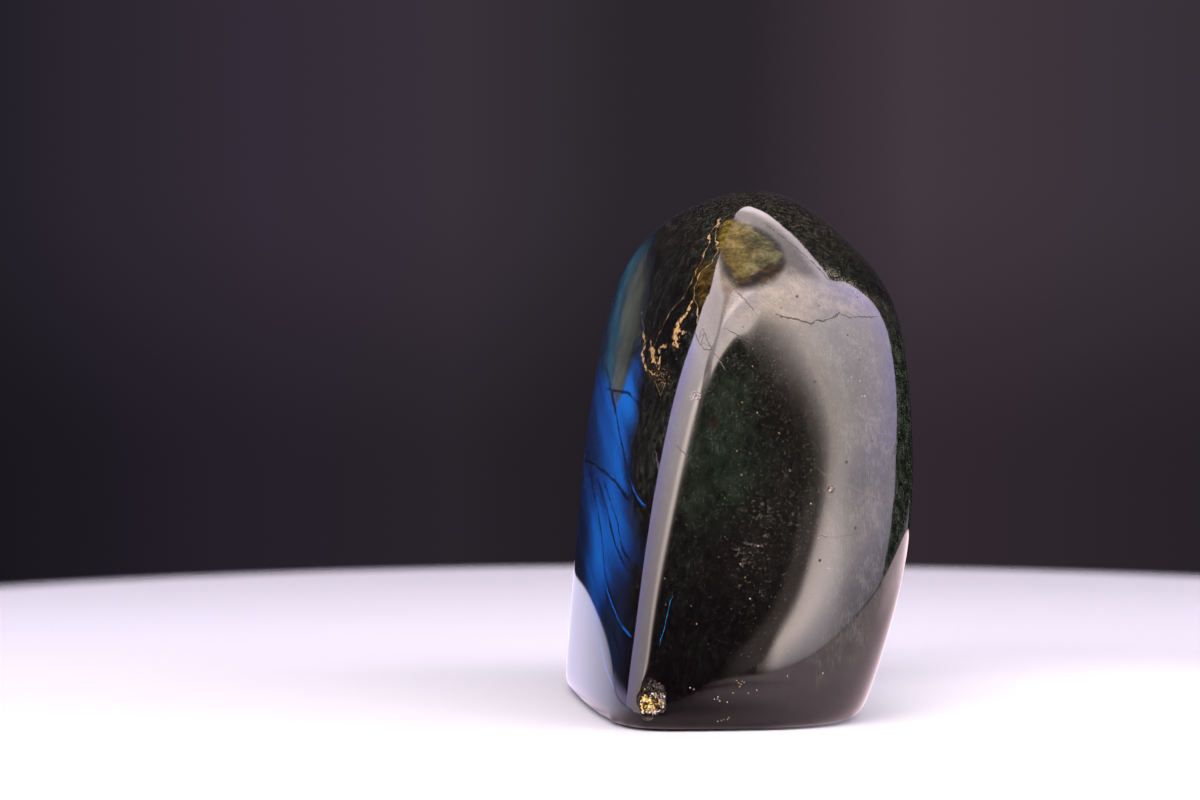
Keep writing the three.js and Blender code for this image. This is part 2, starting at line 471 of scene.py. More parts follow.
broad = rock.sway((9, 9, 26), 0.5, FLASH_TURN, detail=2)
strand = rock.sway((7, 3.6, 26), 0.5, FLASH_TURN, detail=1)
flash_depth = rock.add(display_depth(FLASH_OUTLINE), rock.weigh(FLASH_SWAYS, broad, strand))
flash_middle = rock.edge(line_fields([FLASH_AXIS], display_point)[1], 22, 0)
flash_low = rock.weigh(FLASH_LOW_WEIGHTS, rock.edge(level, 12, 30), rock.edge(level, 38, 54))
flash_tone = rock.weigh(FLASH_WEIGHTS, flash_middle, flash_low, broad, strand)
teal_depth = rock.add(display_depth(TEAL_OUTLINE), rock.times(strand, 3))
teal_grain = rock.grain(TEAL_GRAIN, detail=2)
teal_aside = rock.add(line_fields([TEAL_AXIS], display_point)[0], rock.times(strand, 4))
teal_tone = rock.tones(teal_grain, TEAL_GREY)
teal_tone = rock.mix(rock.edge(teal_aside, 1, 8), teal_tone, rock.tones(teal_grain, TEAL_BLUE))
teal_tone = rock.mix(rock.edge(teal_aside, 7, 13), teal_tone, TEAL_NAVY)
teal_tone = rock.mix(rock.edge(teal_aside, 0, -7), teal_tone, rock.tones(teal_grain, TEAL_OLIVE))
flash_colour = rock.mix(rock.edge(teal_depth, -1.5, 2), rock.tones(flash_tone, FLASH_TONES), teal_tone)
flash = rock.most(rock.edge(flash_depth, -2, 5), rock.times(rock.edge(teal_depth, -1.5, 5), 0.8))
rock.lay(flash_colour, flash, facing_left)
strand_wander = rock.sway(4, 0.4)
strands = thin_lines(
    BLUE_STRANDS, strand_wander, half_width=0.16, soft=0.22, limit=1.2, surface_point=display_point
)
rock.lay(STRAND_COLOUR, strands, strength=0.8)
crack_wander = rock.sway(1.4, 0.4, detail=3)
crack_swell = rock.edge(rock.grain(5, detail=2), 0.3, 0.7)
crack_width = rock.add(rock.times(crack_swell, 0.34), 0.16)
fan_width = rock.add(rock.times(crack_swell, 0.28), 0.08)
cracks = []
for paths, width in ((DISPLAY_CRACKS, crack_width), *((fan, fan_width) for fan in FAN_CRACKS)):
    cracks.append(thin_lines(paths, crack_wander, width, soft=0.16, limit=1.2, surface_point=display_point))
rock.lay(CRACK_COLOUR, rock.most(*cracks), strength=0.85)


# The cream zone and the brow
# Under the crown the rock is paler and crystalline, a cream-grey field above the brow crack. White
# frost-like fibres stand along its upper right edge.
CREAM_OUTLINE = [
    (-4, 78), (-2, 75), (3, 75), (10, 76), (16, 73.5), (22, 71), (24, 68), (16, 67.8), (11.5, 66.5),
    (6, 67.8), (1, 67), (-2.5, 68),
]
CREAM_TONES = (
    (0.41, (0.004, 0.003, 0.001)), (0.50, (0.030, 0.025, 0.011)), (0.60, (0.074, 0.064, 0.036)),
)
CREAM_FIBRE = (0.34, 0.34, 0.9)
CREAM_TURN = (0, math.radians(-30), 0)
CREAM_LUMP = 2.2
CREAM_WEIGHTS = (0.5, 0.5)
FROST_OUTLINE = [
    (14.8, 76.2), (16.4, 75.6), (19.2, 74), (21.8, 72.2), (22.6, 71), (21.4, 70.6), (18.8, 72.2), (16, 74),
    (14.6, 75.4),
]
FROST_FIBRE = (0.25, 0.25, 0.8)
FROST_TURN = (0, math.radians(25), 0)
FROST_COLOUR = (0.095, 0.095, 0.068)

cream_fibre = rock.grain(CREAM_FIBRE, CREAM_TURN, detail=4, rough=0.65)
cream_tone = rock.weigh(CREAM_WEIGHTS, cream_fibre, rock.grain(CREAM_LUMP, detail=4))
cream = rock.tones(cream_tone, CREAM_TONES)
lay_front(cream, CREAM_OUTLINE, strength=0.85, lump=3, reach=2, start=-1.6, end=2, detail=4)
frost_fibre = rock.edge(rock.grain(FROST_FIBRE, FROST_TURN, detail=3), 0.45, 0.62)
lay_front(FROST_COLOUR, FROST_OUTLINE, frost_fibre, lump=2, reach=1.2, start=-0.4, end=0.8)


# The yellow-green patch under the crown
# A grain of another, olive-yellow mineral, sugary inside and greener to the right, with a pale line
# across it, a brown seam along its lower edge and an amber stain beside the ridge.
PATCH_OUTLINE = [
    (-1.4, 84.6), (1, 84.4), (2.4, 83.1), (3.7, 81.9), (5.6, 80.4), (7.2, 78.1), (6.7, 77.3), (3.7, 76.3),
    (1.6, 74.9), (0.3, 74.1), (-1.2, 75.5), (-2.6, 77.3), (-3.6, 79.9), (-3.3, 82.6),
]
PATCH_YELLOW = (
    (0.37, (0.016, 0.011, 0.001)), (0.50, (0.052, 0.039, 0.005)), (0.62, (0.110, 0.088, 0.024)),
)
PATCH_GREEN = (
    (0.37, (0.009, 0.010, 0.003)), (0.50, (0.036, 0.036, 0.013)), (0.62, (0.082, 0.082, 0.042)),
)
PATCH_SUGAR = 0.7
PATCH_LUMP = 3.2
PATCH_WEIGHTS = (0.45, 0.55)
PATCH_LINE = [(-3.5, 79.7), (-1.8, 80.2), (0.6, 79.8)]
PATCH_LINE_COLOUR = (0.120, 0.105, 0.070)
SEAM_OUTLINE = [
    (-0.6, 74.6), (1.2, 74.6), (3.7, 76), (6.9, 77.6), (7.2, 76), (4.2, 74), (1.6, 72.7), (-0.6, 72.7),
]
SEAM_GRAIN = (1.4, 1.4, 1.0)
SEAM_TONES = ((0.43, (0.002, 0.001, 0.001)), (0.62, (0.024, 0.013, 0.001)))
AMBER_OUTLINE = [(-7.2, 76), (-5.6, 77), (-4.2, 77), (-4.4, 74), (-5.3, 71), (-7, 70), (-7.4, 72.6)]
AMBER_GRAIN = (0.8, 0.8, 1.2)
AMBER_TONES = (
    (0.36, (0.009, 0.006, 0.001)), (0.50, (0.026, 0.017, 0.003)), (0.64, (0.060, 0.040, 0.010)),
)

sugar = rock.grain(PATCH_SUGAR, detail=5, rough=0.65)
patch_tone = rock.weigh(PATCH_WEIGHTS, sugar, rock.grain(PATCH_LUMP, detail=3))
greener = rock.ragged(place.outputs["X"], lump=3, reach=2.5, start=-1.5, end=4.5, detail=2)
patch_colour = rock.mix(greener, rock.tones(patch_tone, PATCH_YELLOW), rock.tones(patch_tone, PATCH_GREEN))
lay_front(patch_colour, PATCH_OUTLINE, lump=1.6, reach=0.8, start=-0.6, end=0.6)
patch_wander = rock.sway(1, 0.3, detail=3)
patch_line = thin_lines([PATCH_LINE], patch_wander, half_width=0.10, soft=0.12, limit=0.9)
rock.lay(PATCH_LINE_COLOUR, patch_line, rock.edge(sugar, 0.35, 0.55))
seam = rock.tones(rock.grain(SEAM_GRAIN, detail=4), SEAM_TONES)
lay_front(seam, SEAM_OUTLINE, strength=0.95, lump=0.9, reach=0.7, start=-0.4, end=0.5)
amber = rock.tones(rock.grain(AMBER_GRAIN, detail=4), AMBER_TONES)
lay_front(amber, AMBER_OUTLINE, strength=0.9, lump=1.5, reach=1.6, start=-1.2, end=1.4, detail=4)


# The tan crack fillings
# Old cracks near the top that have healed with a tan mineral: two thin branching veins that run
# down from the crown and a broken, flaky patch where they meet the display face.
VEIN_FIRST = [
    (-1.5, 85.4), (-3.1, 84.5), (-4.9, 81.9), (-4.8, 80.7), (-6.3, 77.8), (-7.9, 74.3), (-9.7, 71.1),
    (-11.6, 69), (-13.1, 66.1), (-13.9, 64.2),
]
VEIN_SECOND = [
    (-3.1, 84.5), (-3.9, 81.9), (-3.7, 79.2), (-4.6, 77.3), (-6.9, 75.3), (-7.6, 72.9), (-7.8, 71.4),
    (-7.2, 69.6), (-7.2, 67.9),
]
FLAKE_STROKES = [
    [(-8.2, 70.5), (-9, 68.7), (-9.7, 67.9)],
    [(-10.9, 65.9), (-9.7, 65.6)],
    [(-12.4, 63.2), (-13.1, 63)],
    [(-13.6, 62.1), (-13.5, 60.3)],
    [(-14.9, 63.6), (-14.6, 60.9), (-13.8, 59.6)],
    [(-16.1, 64.8), (-15.8, 63), (-16.4, 61.5), (-15.8, 59.3)],
]
FLAKE_BROAD = [[(-10.4, 67.2), (-10.9, 65.7), (-10.8, 63.5)], [(-14.8, 62.6), (-14.5, 61)]]
FLAKE_GRAIN = (0.55, 0.55, 0.8)
FLAKE_TURN = (0.2, 0.35, 0)
FLAKE_GAPS = (0.35, 0.35, 0.5)
GOLD_DUST_OUTLINE = [(-16.2, 60), (-12, 59.6), (-11.6, 57), (-13, 55.8), (-15, 57.2)]
GOLD_DUST_GRAIN = (0.30, 0.30, 0.36)
WISP_PATHS = [[(-16.3, 68.1), (-16, 65.1)], [(-15.6, 59.1), (-14.4, 58.2)]]
TIP_PATH = [(-14.3, 57.2), (-13.4, 54.8), (-12.7, 56.9)]
VEIN_COLOUR = (0.22, 0.155, 0.070)
FLAKE_COLOUR = (0.31, 0.205, 0.080)
VEIN_ROUGHNESS = 0.35

vein_wander = rock.sway(1.5, 0.7, detail=3)
vein_swell = rock.edge(rock.grain(1.3, detail=3), 0.42, 0.74)
vein_width = rock.add(rock.times(vein_swell, 0.20), 0.01)
veins = [
    thin_lines([vein], vein_wander, vein_width, soft=0.07, limit=1.2)
    for vein in (VEIN_FIRST, VEIN_SECOND)
]
wisp_width = rock.add(vein_width, 0.02)
wisps = thin_lines(WISP_PATHS, vein_wander, wisp_width, soft=0.08, limit=1.2)
wisps = rock.times(wisps, rock.edge(rock.grain(1.1, detail=2), 0.42, 0.50))
tip_wander = rock.sway(0.6, 0.3, detail=3)
tip = thin_lines([TIP_PATH], tip_wander, half_width=0.04, soft=0.07, limit=0.8)
vein = rock.most(*veins, wisps, rock.times(tip, 0.6))
flake_jag = rock.sway(0.4, 0.45, detail=4)
flake_swell = rock.edge(rock.grain(0.9, detail=4, rough=0.6), 0.36, 0.66)
flake_gaps = rock.edge(rock.grain(FLAKE_GAPS, detail=3, rough=0.6), 0.40, 0.46)
stroke_width = rock.times(flake_swell, 0.46)
strokes = thin_lines(FLAKE_STROKES, flake_jag, stroke_width, soft=0.05, limit=1.1)
strokes = rock.times(strokes, rock.edge(flake_swell, 0.05, 0.25), flake_gaps)
flake_reach = line_fields(FLAKE_BROAD, front_point)[1]
flake_grain = rock.grain(FLAKE_GRAIN, FLAKE_TURN, detail=5, rough=0.62)
flakes = rock.add(flake_grain, rock.times(rock.edge(flake_reach, 1.5, 0.1), 0.18))
flakes = rock.times(rock.edge(flakes, 0.62, 0.66), rock.edge(flake_reach, 1.5, 0.9))
gold_zone = rock.ragged(front_depth(GOLD_DUST_OUTLINE), lump=1.5, reach=1, start=-0.4, end=1.2)
gold_grain = rock.edge(rock.grain(GOLD_DUST_GRAIN, detail=3, rough=0.6), 0.57, 0.66)
flakes = rock.most(flakes, strokes, rock.times(gold_grain, gold_zone, 0.85))
rock.lay(VEIN_COLOUR, vein)
rock.lay(FLAKE_COLOUR, flakes)
gloss = rock.blend(rock.most(vein, flakes), gloss, VEIN_ROUGHNESS)


# The hairline cracks
# Fine open cracks: a dark one along the brow under the crown, faint brown ones across the right of
# the side face, a spray of them over the ridge, and a sliver of blue that shows through one.
BROW_CRACK = [
    (6.6, 68.3), (7.6, 68), (8.7, 67.9), (10.2, 67.4), (11.7, 66.9), (13, 67.6), (13.8, 67.4), (15.1, 67.7),
    (16.3, 68.4),
]
BROWN_CRACKS = [
    [(8.7, 51.1), (14.7, 50.4), (19.9, 50.6), (26.1, 49.9)],
    [(9.5, 45.8), (12.1, 43.5), (14.9, 41.1), (18.4, 39.8), (21.9, 38), (24.4, 36.9)],
    [(13.6, 31.8), (16.6, 31.8), (19.4, 32)],
]
RIDGE_CRACKS = [
    [(-7.5, 65), (-7.1, 63.9), (-6.4, 62.9), (-5.3, 62.5), (-4, 61.5), (-3, 59.9)],
    [(-6.2, 65.6), (-5.6, 63.9), (-4.7, 62.4)],
    [(-2, 65.8), (-0.1, 64.8), (1.4, 63.9)],
    [(-10.6, 46.5), (-9.7, 45.7)],
    [(17, 68.5), (18.4, 68), (20.4, 68), (23, 68)],
    [(-0.7, 72.4), (0.8, 70.8), (2.2, 69)],
    [(5.2, 83.4), (7.3, 81.8), (9.4, 80), (11.2, 78.4), (12.8, 76.9), (14.7, 74.8)],
]
BLUE_SLIVER = [(-11.9, 21.7), (-12.4, 19.7), (-13, 17.1), (-13.7, 14.9)]
BROWN_CRACK_COLOUR = (0.030, 0.014, 0.010)
SLIVER_COLOUR = (0.010, 0.190, 0.400)
CRACK_HEIGHTS = (-0.10, -0.006)
CRACK_ROUGHNESS = 0.4

hair_wander = rock.sway(0.7, 0.40, detail=4)
brow_width = rock.times(rock.edge(rock.grain(1.6, detail=3), 0.34, 0.66), 0.17)
brow = thin_lines([BROW_CRACK], hair_wander, brow_width, soft=0.06, limit=1)
ridge = thin_lines(RIDGE_CRACKS, hair_wander, half_width=0.02, soft=0.06, limit=1)
open_crack = rock.most(brow, rock.times(ridge, 0.6))
brown_width = rock.times(crack_swell, 0.16)
brown_crack = thin_lines(BROWN_CRACKS, crack_wander, brown_width, soft=0.16, limit=1)
brown_crack = rock.times(brown_crack, 0.7)
rock.lay(CRACK_COLOUR, open_crack, strength=0.9)
rock.lay(BROWN_CRACK_COLOUR, brown_crack)
height = rock.weigh(CRACK_HEIGHTS, open_crack, brown_crack)
sliver_wander = rock.sway(2, 0.3)
sliver = thin_lines([BLUE_SLIVER], sliver_wander, half_width=0.03, soft=0.06, limit=0.8)
rock.lay(SLIVER_COLOUR, sliver, rock.edge(flake, 0.34, 0.47))
gloss = rock.blend(rock.most(open_crack, rock.times(brown_crack, 0.5)), gloss, CRACK_ROUGHNESS)


# The pits and flecks of the surface
# Bright cleavage flecks in clusters inside the dark front, single specks of gold and white mineral,
# a dark chip at each side of the front, two brown stains, dust, and pinholes that the polish left.
FLECK_OUTLINE = [(-5, 42), (4, 42), (12, 50), (14, 40), (10, 28), (3, 18), (-3, 20), (-5, 28)]
CLUSTER_OUTLINE = [
    (0, 39.5), (5.3, 38.5), (4, 33), (2.5, 27), (0.5, 20.5), (-2.2, 23), (-3.2, 28), (-0.5, 33),
]
FLECK_GRAIN = (1.0, 1.0, 0.8)
FLECK_WEIGHTS = (1, 0.065, 0.03)
FLECK_TONES = ((0.40, (0.022, 0.021, 0.019)), (0.62, (0.110, 0.098, 0.084)))
SPARKLE_OUTLINE = [(-5, 61), (0, 65), (8, 62), (15, 50), (15, 22), (9, 8), (-9, 10), (-9.5, 28), (-7.5, 45)]
SPARKLE_COLOUR = (0.120, 0.112, 0.100)
SPARKLE_GRAIN = (0.40, 0.40, 0.34)
GOLD_SPECKS = [
    (1.7, 60), (2.4, 52.4), (6, 49), (-0.2, 42.2), (-1, 46.1), (0.3, 25.4), (-7.7, 17.8), (12.6, 31.6),
    (-3.2, 2.1), (-2.4, 2.4), (-0.8, 8.1), (-0.1, 54.1), (-1.1, 8.5), (-0.4, 7.9), (-0.6, 7.5), (0.1, 8.2),
    (-1.7, 6.5), (-3.6, 1.9),
]
WHITE_SPECKS = [
    (1.1, 21.9), (11.3, 37.3), (7.3, 9.1), (13.3, 9.3), (-4.3, 5.5), (-3.9, 5.2), (-2.7, 5), (-8.2, 7.1),
    (18.5, 58), (20, 57.4), (2.5, 30.5), (-0.5, 27.6), (14.3, 26.6), (-7.4, 55.4), (-8.1, 54.8), (-4.8, 5.5),
    (-4.2, 5.9), (-4.2, 1.8), (-2.6, 2.1), (0.8, 6.4), (2.2, 6.9), (-8.8, 7.4), (-0.2, 8.4), (20.3, 54.9),
    (20.8, 54.8),
]
LARGE_PITS = [(14.8, 39.5)]
DUST = [(-7.8, 55.1)]
STAINS = [(12.2, 57.3), (-4.7, 50.7)]
CHIPS = [[(-14.2, 45), (-13.9, 43.4)], [(26.3, 46.8), (25.9, 45.2)]]
DARK_PITS = [(12.8, 27.9), (12.2, 57.3), (7.8, 42.9), (6.4, 85), (9.5, 71.5), (17.5, 44), (19, 33)]
GOLD_SPECK_COLOUR = (0.20, 0.145, 0.055)
WHITE_SPECK_COLOUR = (0.30, 0.27, 0.23)
DUST_TONES = ((0.44, (0.012, 0.010, 0.010)), (0.60, (0.26, 0.23, 0.22)))
STAIN_COLOUR = (0.010, 0.005, 0.003)
CHIP_COLOUR = (0.022, 0.011, 0.010)
LARGE_PIT_TONES = ((0.42, (0.004, 0.003, 0.003)), (0.56, (0.36, 0.28, 0.19)))
PINHOLE_COLOUR = (0.004, 0.004, 0.004)
PIT_HEIGHT = -0.10
PIT_ROUGHNESS = 0.5
MARK_CORE = 0.5


def front_marks(centres, radius, wobble):
    """Small single marks at points given as (x, z), with a wobbling edge."""
    here = rock.cells(1)
    near = FAR_OUT
    for centre in centres:
        ends = {0: here, 1: tuple(front_point(*centre))}
        gap = rock.made("VectorMath", ends, output="Value", operation="DISTANCE")
        near = rock.math("MINIMUM", gap, near)
    return rock.edge(rock.add(near, wobble), radius, radius * MARK_CORE)


cluster = rock.ragged(front_depth(CLUSTER_OUTLINE), lump=5, reach=3.5, start=-1.5, end=2.5)
fleck_zone = rock.ragged(front_depth(FLECK_OUTLINE), lump=8, reach=7, start=-2, end=5)
fleck_level = rock.weigh(FLECK_WEIGHTS, rock.grain(FLECK_GRAIN, detail=7, rough=0.78), cluster, fleck_zone)
flecks = rock.times(rock.edge(fleck_level, 0.585, 0.70), rock.most(cluster, fleck_zone))
rock.lay(rock.tones(rock.grain(1.7, detail=3), FLECK_TONES), flecks, strength=0.8)
sparkle_zone = rock.edge(front_depth(SPARKLE_OUTLINE), -1, 4)
sparkle_swell = rock.edge(rock.grain(4, detail=3), 0.38, 0.60)
sparkles = rock.edge(rock.grain(SPARKLE_GRAIN, detail=3, rough=0.7), 0.63, 0.72)
rock.lay(SPARKLE_COLOUR, rock.times(sparkles, sparkle_zone, sparkle_swell), strength=0.8)
speck_wobble = rock.sway(0.22, 0.15, detail=2)
white_specks = front_marks(WHITE_SPECKS, 0.15, speck_wobble)
large_pits = front_marks(LARGE_PITS, 0.72, rock.sway(0.5, 0.4, detail=3))
dark_pits = front_marks(DARK_PITS, 0.26, speck_wobble)
dust = front_marks(DUST, 1.0, rock.sway(0.8, 0.6, detail=3))
stains = front_marks(STAINS, 1.1, rock.sway(0.9, 0.7, detail=4))
chip_wander = rock.sway(0.6, 0.6, detail=4)
chips = thin_lines(CHIPS, chip_wander, half_width=0.2, soft=0.2, limit=1.2)
pinholes = rock.most(rock.spots(2.2, share=0.22, radius=0.035), dark_pits)
rock.lay(STAIN_COLOUR, stains, strength=0.7)
rock.lay(CHIP_COLOUR, chips, strength=0.9)
rock.lay(rock.tones(rock.grain(0.3, detail=3), DUST_TONES), dust)
rock.lay(GOLD_SPECK_COLOUR, front_marks(GOLD_SPECKS, 0.16, speck_wobble))
rock.lay(WHITE_SPECK_COLOUR, white_specks)
rock.lay(rock.tones(rock.grain(0.5, detail=3), LARGE_PIT_TONES), large_pits)
rock.lay(PINHOLE_COLOUR, pinholes)
pitted = rock.most(pinholes, large_pits)
height = rock.add(height, rock.times(pitted, PIT_HEIGHT))
gloss = rock.blend(rock.most(pitted, white_specks, dust, chips), gloss, PIT_ROUGHNESS)


# The pocket and its crystals
# At the foot of the ridge softer mineral has broken out and left a rough brown pocket that the
# polish could not reach. Brown, golden and white mineral grains are still grown to its floor.
POCKET_TONES = (
    (0.38, (0.003, 0.002, 0.002)), (0.52, (0.015, 0.011, 0.009)), (0.66, (0.070, 0.054, 0.045)),
)
POCKET_ROUGHNESS = 0.7
POCKET_RELIEF = 0.35
POCKET_ACROSS = Vector((math.cos(POCKET_AZIMUTH), math.sin(POCKET_AZIMUTH), 0))
POCKET_UP = Vector((0, 0, 1))
GRAIN_RADIUS = 0.25
GRAIN_JITTER = 0.12
GRAIN_SEED = 7
GRAIN_LIFT = (0.0, 0.7)
GRAIN_SCALES = (0.5, 1.5)
GOLD_PLACES = [
    ((-0.9, -1.0), (1.3, 1.2), 130), ((0.3, -0.7), (0.8, 0.8), 26), ((0.5, 0.5), (0.5, 0.5), 9),
    ((-1.2, 1.6), (0.5, 0.25), 6), ((-1.6, 0.0), (0.4, 0.6), 10),
]
WHITE_PLACES = [
    ((1.6, -0.1), (0.5, 1.4), 34), ((0.1, -2.2), (1.1, 0.5), 28), ((0.4, 0.4), (0.9, 0.6), 18),
    ((-1.0, -2.0), (0.8, 0.4), 14), ((0.6, 2.1), (0.6, 0.4), 4), ((-0.6, 0.4), (0.8, 0.5), 6),
]
BROWN_PLACES = [((0.0, 0.2), (2.3, 2.9), 230), ((0.0, 1.7), (1.5, 1.1), 60)]
GOLD_TONES = ((0.36, (0.20, 0.12, 0.02)), (0.50, (0.62, 0.46, 0.10)), (0.64, (0.92, 0.82, 0.46)))
WHITE_TONES = ((0.34, (0.16, 0.12, 0.10)), (0.50, (0.50, 0.44, 0.36)), (0.66, (0.86, 0.82, 0.74)))
BROWN_TONES = (
    (0.36, (0.006, 0.004, 0.003)), (0.52, (0.026, 0.019, 0.015)), (0.66, (0.095, 0.074, 0.060)),
)
GRAIN_ROUGHNESS = 0.45

pocket = rock.field("pocket")
pocket_grain = rock.grain(0.9, detail=5, rough=0.65)
rock.lay(rock.tones(pocket_grain, POCKET_TONES), pocket)
gloss = rock.blend(pocket, gloss, POCKET_ROUGHNESS)
height = rock.add(height, rock.times(pocket_grain, pocket, POCKET_RELIEF))

bpy.ops.object.select_all(action="DESELECT")
bpy.ops.mesh.primitive_ico_sphere_add(subdivisions=1, radius=GRAIN_RADIUS * MILLIMETRE)
grain_model = bpy.context.object
bpy.ops.object.mode_set(mode="EDIT")
bpy.ops.transform.vertex_random(offset=GRAIN_JITTER * MILLIMETRE, uniform=0.7, seed=GRAIN_SEED)
bpy.ops.object.mode_set(mode="OBJECT")
chance = random.Random(GRAIN_SEED)


def grow_grains(name, areas, tones):
    """Copies of the grain in ellipses of (middle, half size, count), each drawn out to the floor."""
    copies = []
    for (across, up), (half_across, half_up), count in areas:
        for _ in range(count):
            way = chance.uniform(0, 2 * math.pi)
            out = math.sqrt(chance.random())
            aim = POCKET_MIDDLE + POCKET_ACROSS * (across + half_across * out * math.cos(way))
            aim = aim + POCKET_UP * (up + half_up * out * math.sin(way)) + POCKET_OUT * FAR_OUT
            floor = stone.ray_cast(aim * MILLIMETRE, -POCKET_OUT)[1]
            lift = POCKET_OUT * chance.uniform(*GRAIN_LIFT) * MILLIMETRE
            seat = floor + lift
            turn = Euler([chance.uniform(0, 2 * math.pi) for _ in range(3)])
            size = Vector([chance.uniform(*GRAIN_SCALES) for _ in range(3)])
            grain = bpy.data.objects.new(name, grain_model.data.copy())
            grain.data.transform(Matrix.LocRotScale(seat, turn, size))
            for point in grain.data.vertices:
                if (point.co - seat).dot(POCKET_OUT) < 0:
                    point.co -= lift
            bpy.context.scene.collection.objects.link(grain)
            copies.append(grain)
    pick(copies[0])
    for grain in copies:
        grain.select_set(True)
    bpy.ops.object.join()
    crust = bpy.context.object
    mineral = Paint(bpy.data.materials.new(name))
    mineral_colour = mineral.tones(mineral.grain(0.5, detail=3), tones)
    mineral_finish = {"Base Color": mineral_colour, "Roughness": GRAIN_ROUGHNESS}
    mineral.wire(mineral.part("Principled BSDF"), mineral_finish)
    crust.data.materials.append(mineral.owner)
    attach(crust, "root")


grow_grains("brown_grains", BROWN_PLACES, BROWN_TONES)
grow_grains("golden_grains", GOLD_PLACES, GOLD_TONES)
grow_grains("white_grains", WHITE_PLACES, WHITE_TONES)
bpy.data.objects.remove(grain_model)


# The polish
# The ground faces are polished to a wet-looking gloss. Cracks, pits and the pocket stay open in it,
# and a dark red-brown line of painted contact shade runs along the rim of the sawn base.
RIM_SHADE_LEVELS = (1.3, 0.3)
RIM_SHADE_COLOUR = (0.012, 0.004, 0.002)
STONE_IOR = 1.56

# Painted contact shade: a dark red-brown line along the bottom edge of the stone.
rock.lay(RIM_SHADE_COLOUR, rock.edge(level, *RIM_SHADE_LEVELS), strength=0.85)
relief = rock.made("Bump", {"Distance": MILLIMETRE, "Height": height})
finish = {"Base Color": rock.colour, "Roughness": gloss, "Normal": relief, "IOR": STONE_IOR}
rock.wire(rock.part("Principled BSDF"), finish)
stone.data.materials.clear()
stone.data.materials.append(rock.owner)


# The table
# A round, matt white table under the stone, whose rim melts into the dark room. Its front stands
# outside the tent, and its colour is greyer there as painted shade. The stone mirrors it as a glowing
# sheet that only mirrors see.
TABLE_RADIUS = 0.30
TABLE_FADE = (0.252, 0.288)
TABLE_SIDES = 160
TABLE_REAR_COLOUR = (0.50, 0.545, 0.62)
TABLE_FRONT_SHADED_COLOUR = (0.36, 0.40, 0.42)
TABLE_FRONT_SHADE_SPAN = (-0.16, 0.22)
# Painted fill light: the table glows faintly beside the stone's right side, lightening its shadow there.
TABLE_FILL_LIGHT_PLACE = (0.065, 0.0, 0.0)
TABLE_FILL_LIGHT_REACH = (0.085, 0.02)
TABLE_FILL_LIGHT_COLOUR = (0.95, 0.86, 1.0)
TABLE_FILL_LIGHT_LEVEL = 0.36
TABLE_ROUGHNESS = 0.6
SHEET_LIFT = 0.3
SHEET_STEP = 3
SHEET_HALF = 447
SHEET_FADE = (284, 300)
SHEET_DARK_RIM = 309
SHEET_LEFT_WIDENING = 0.34
SHEET_RIGHT_WIDENING = -0.10
SHEET_WIDE_DEPTH = (-90, -30)
SHEET_FAR_LEFT = (-100, -240)
SHEET_FAR_LEFT_DIM = 0.5
SHEET_LONG_FADE = (300, 440)
SHEET_LONG_TURN = (110, 50)
SHEET_LEAST = 0.03
SHEET_COLOUR = np.array((1.78, 1.32, 1.46))
SHEET_LEFT_COLOUR = np.array((1.28, 1.20, 1.62))
SHEET_FRONT_SHARE = [
    (-300, 0.30), (-150, 0.20), (-15, 0.10), (-4, 0.18), (6, 0.40), (20, 0.74), (50, 0.88), (100, 0.92),
    (150, 0.90), (210, 1.0),
]
SHEET_RIGHT = (80, 150)
SHEET_RIGHT_DEPTH = (-30, 15)
SHEET_RIGHT_GAIN = 0.75
SHEET_CONTACT_SHADOW = (0.5, -3.5)
BASE_OUTLINE = [
    (-25, 0), (-24, -12), (-22, -21), (-19, -32), (-15, -36), (-8, -37), (2, -36), (10, -33), (17, -27),
    (19, -18), (19, 10), (18, 27), (10, 35), (-9, 36), (-17, 35), (-26, 24), (-27, 15),
]
SHEET_NEAR_FADE = (-280, -80)
SHEET_NEAR_FADE_END = (15, 75)
SHEET_TURN = (-60, 0)
SHEET_LEFT = (-10, -40)

bpy.ops.object.select_all(action="DESELECT")
bpy.ops.mesh.primitive_circle_add(vertices=TABLE_SIDES, radius=TABLE_RADIUS, fill_type="NGON")
table = bpy.context.object
table.name = "table"
cloth = Paint(bpy.data.materials.new("white_table"))
cloth_place = cloth.made("TexCoord", {}, output="Object")
# Painted shade: the front of the table, outside the tent, is given a greyer colour than its rear.
to_rear = cloth.edge(cloth.made("SeparateXYZ", {0: cloth_place}, output="Y"), *TABLE_FRONT_SHADE_SPAN)
# Painted fill light: emission on the cloth near the stone's right side, fading with distance.
fill_light_ends = {0: cloth_place, 1: TABLE_FILL_LIGHT_PLACE}
from_fill_light = cloth.made("VectorMath", fill_light_ends, output="Value", operation="DISTANCE")
from_middle = cloth.made("VectorMath", {0: cloth_place}, output="Value", operation="LENGTH")
cloth_finish = {
    "Base Color": cloth.mix(to_rear, TABLE_FRONT_SHADED_COLOUR, TABLE_REAR_COLOUR),
    "Roughness": TABLE_ROUGHNESS,
    "Specular IOR Level": 0.0,
    "Emission Color": TABLE_FILL_LIGHT_COLOUR,
    "Emission Strength": cloth.times(cloth.edge(from_fill_light, *TABLE_FILL_LIGHT_REACH), TABLE_FILL_LIGHT_LEVEL),
}
weave = cloth.part("Principled BSDF")
cloth.wire(weave, cloth_finish)
clear = cloth.made("BsdfTransparent", {})
melt = cloth.made("MixShader", {0: cloth.edge(from_middle, *TABLE_FADE), 1: weave.outputs[0], 2: clear})
cloth.feed(cloth.part("Material Output").inputs["Surface"], melt)
table.data.materials.append(cloth.owner)


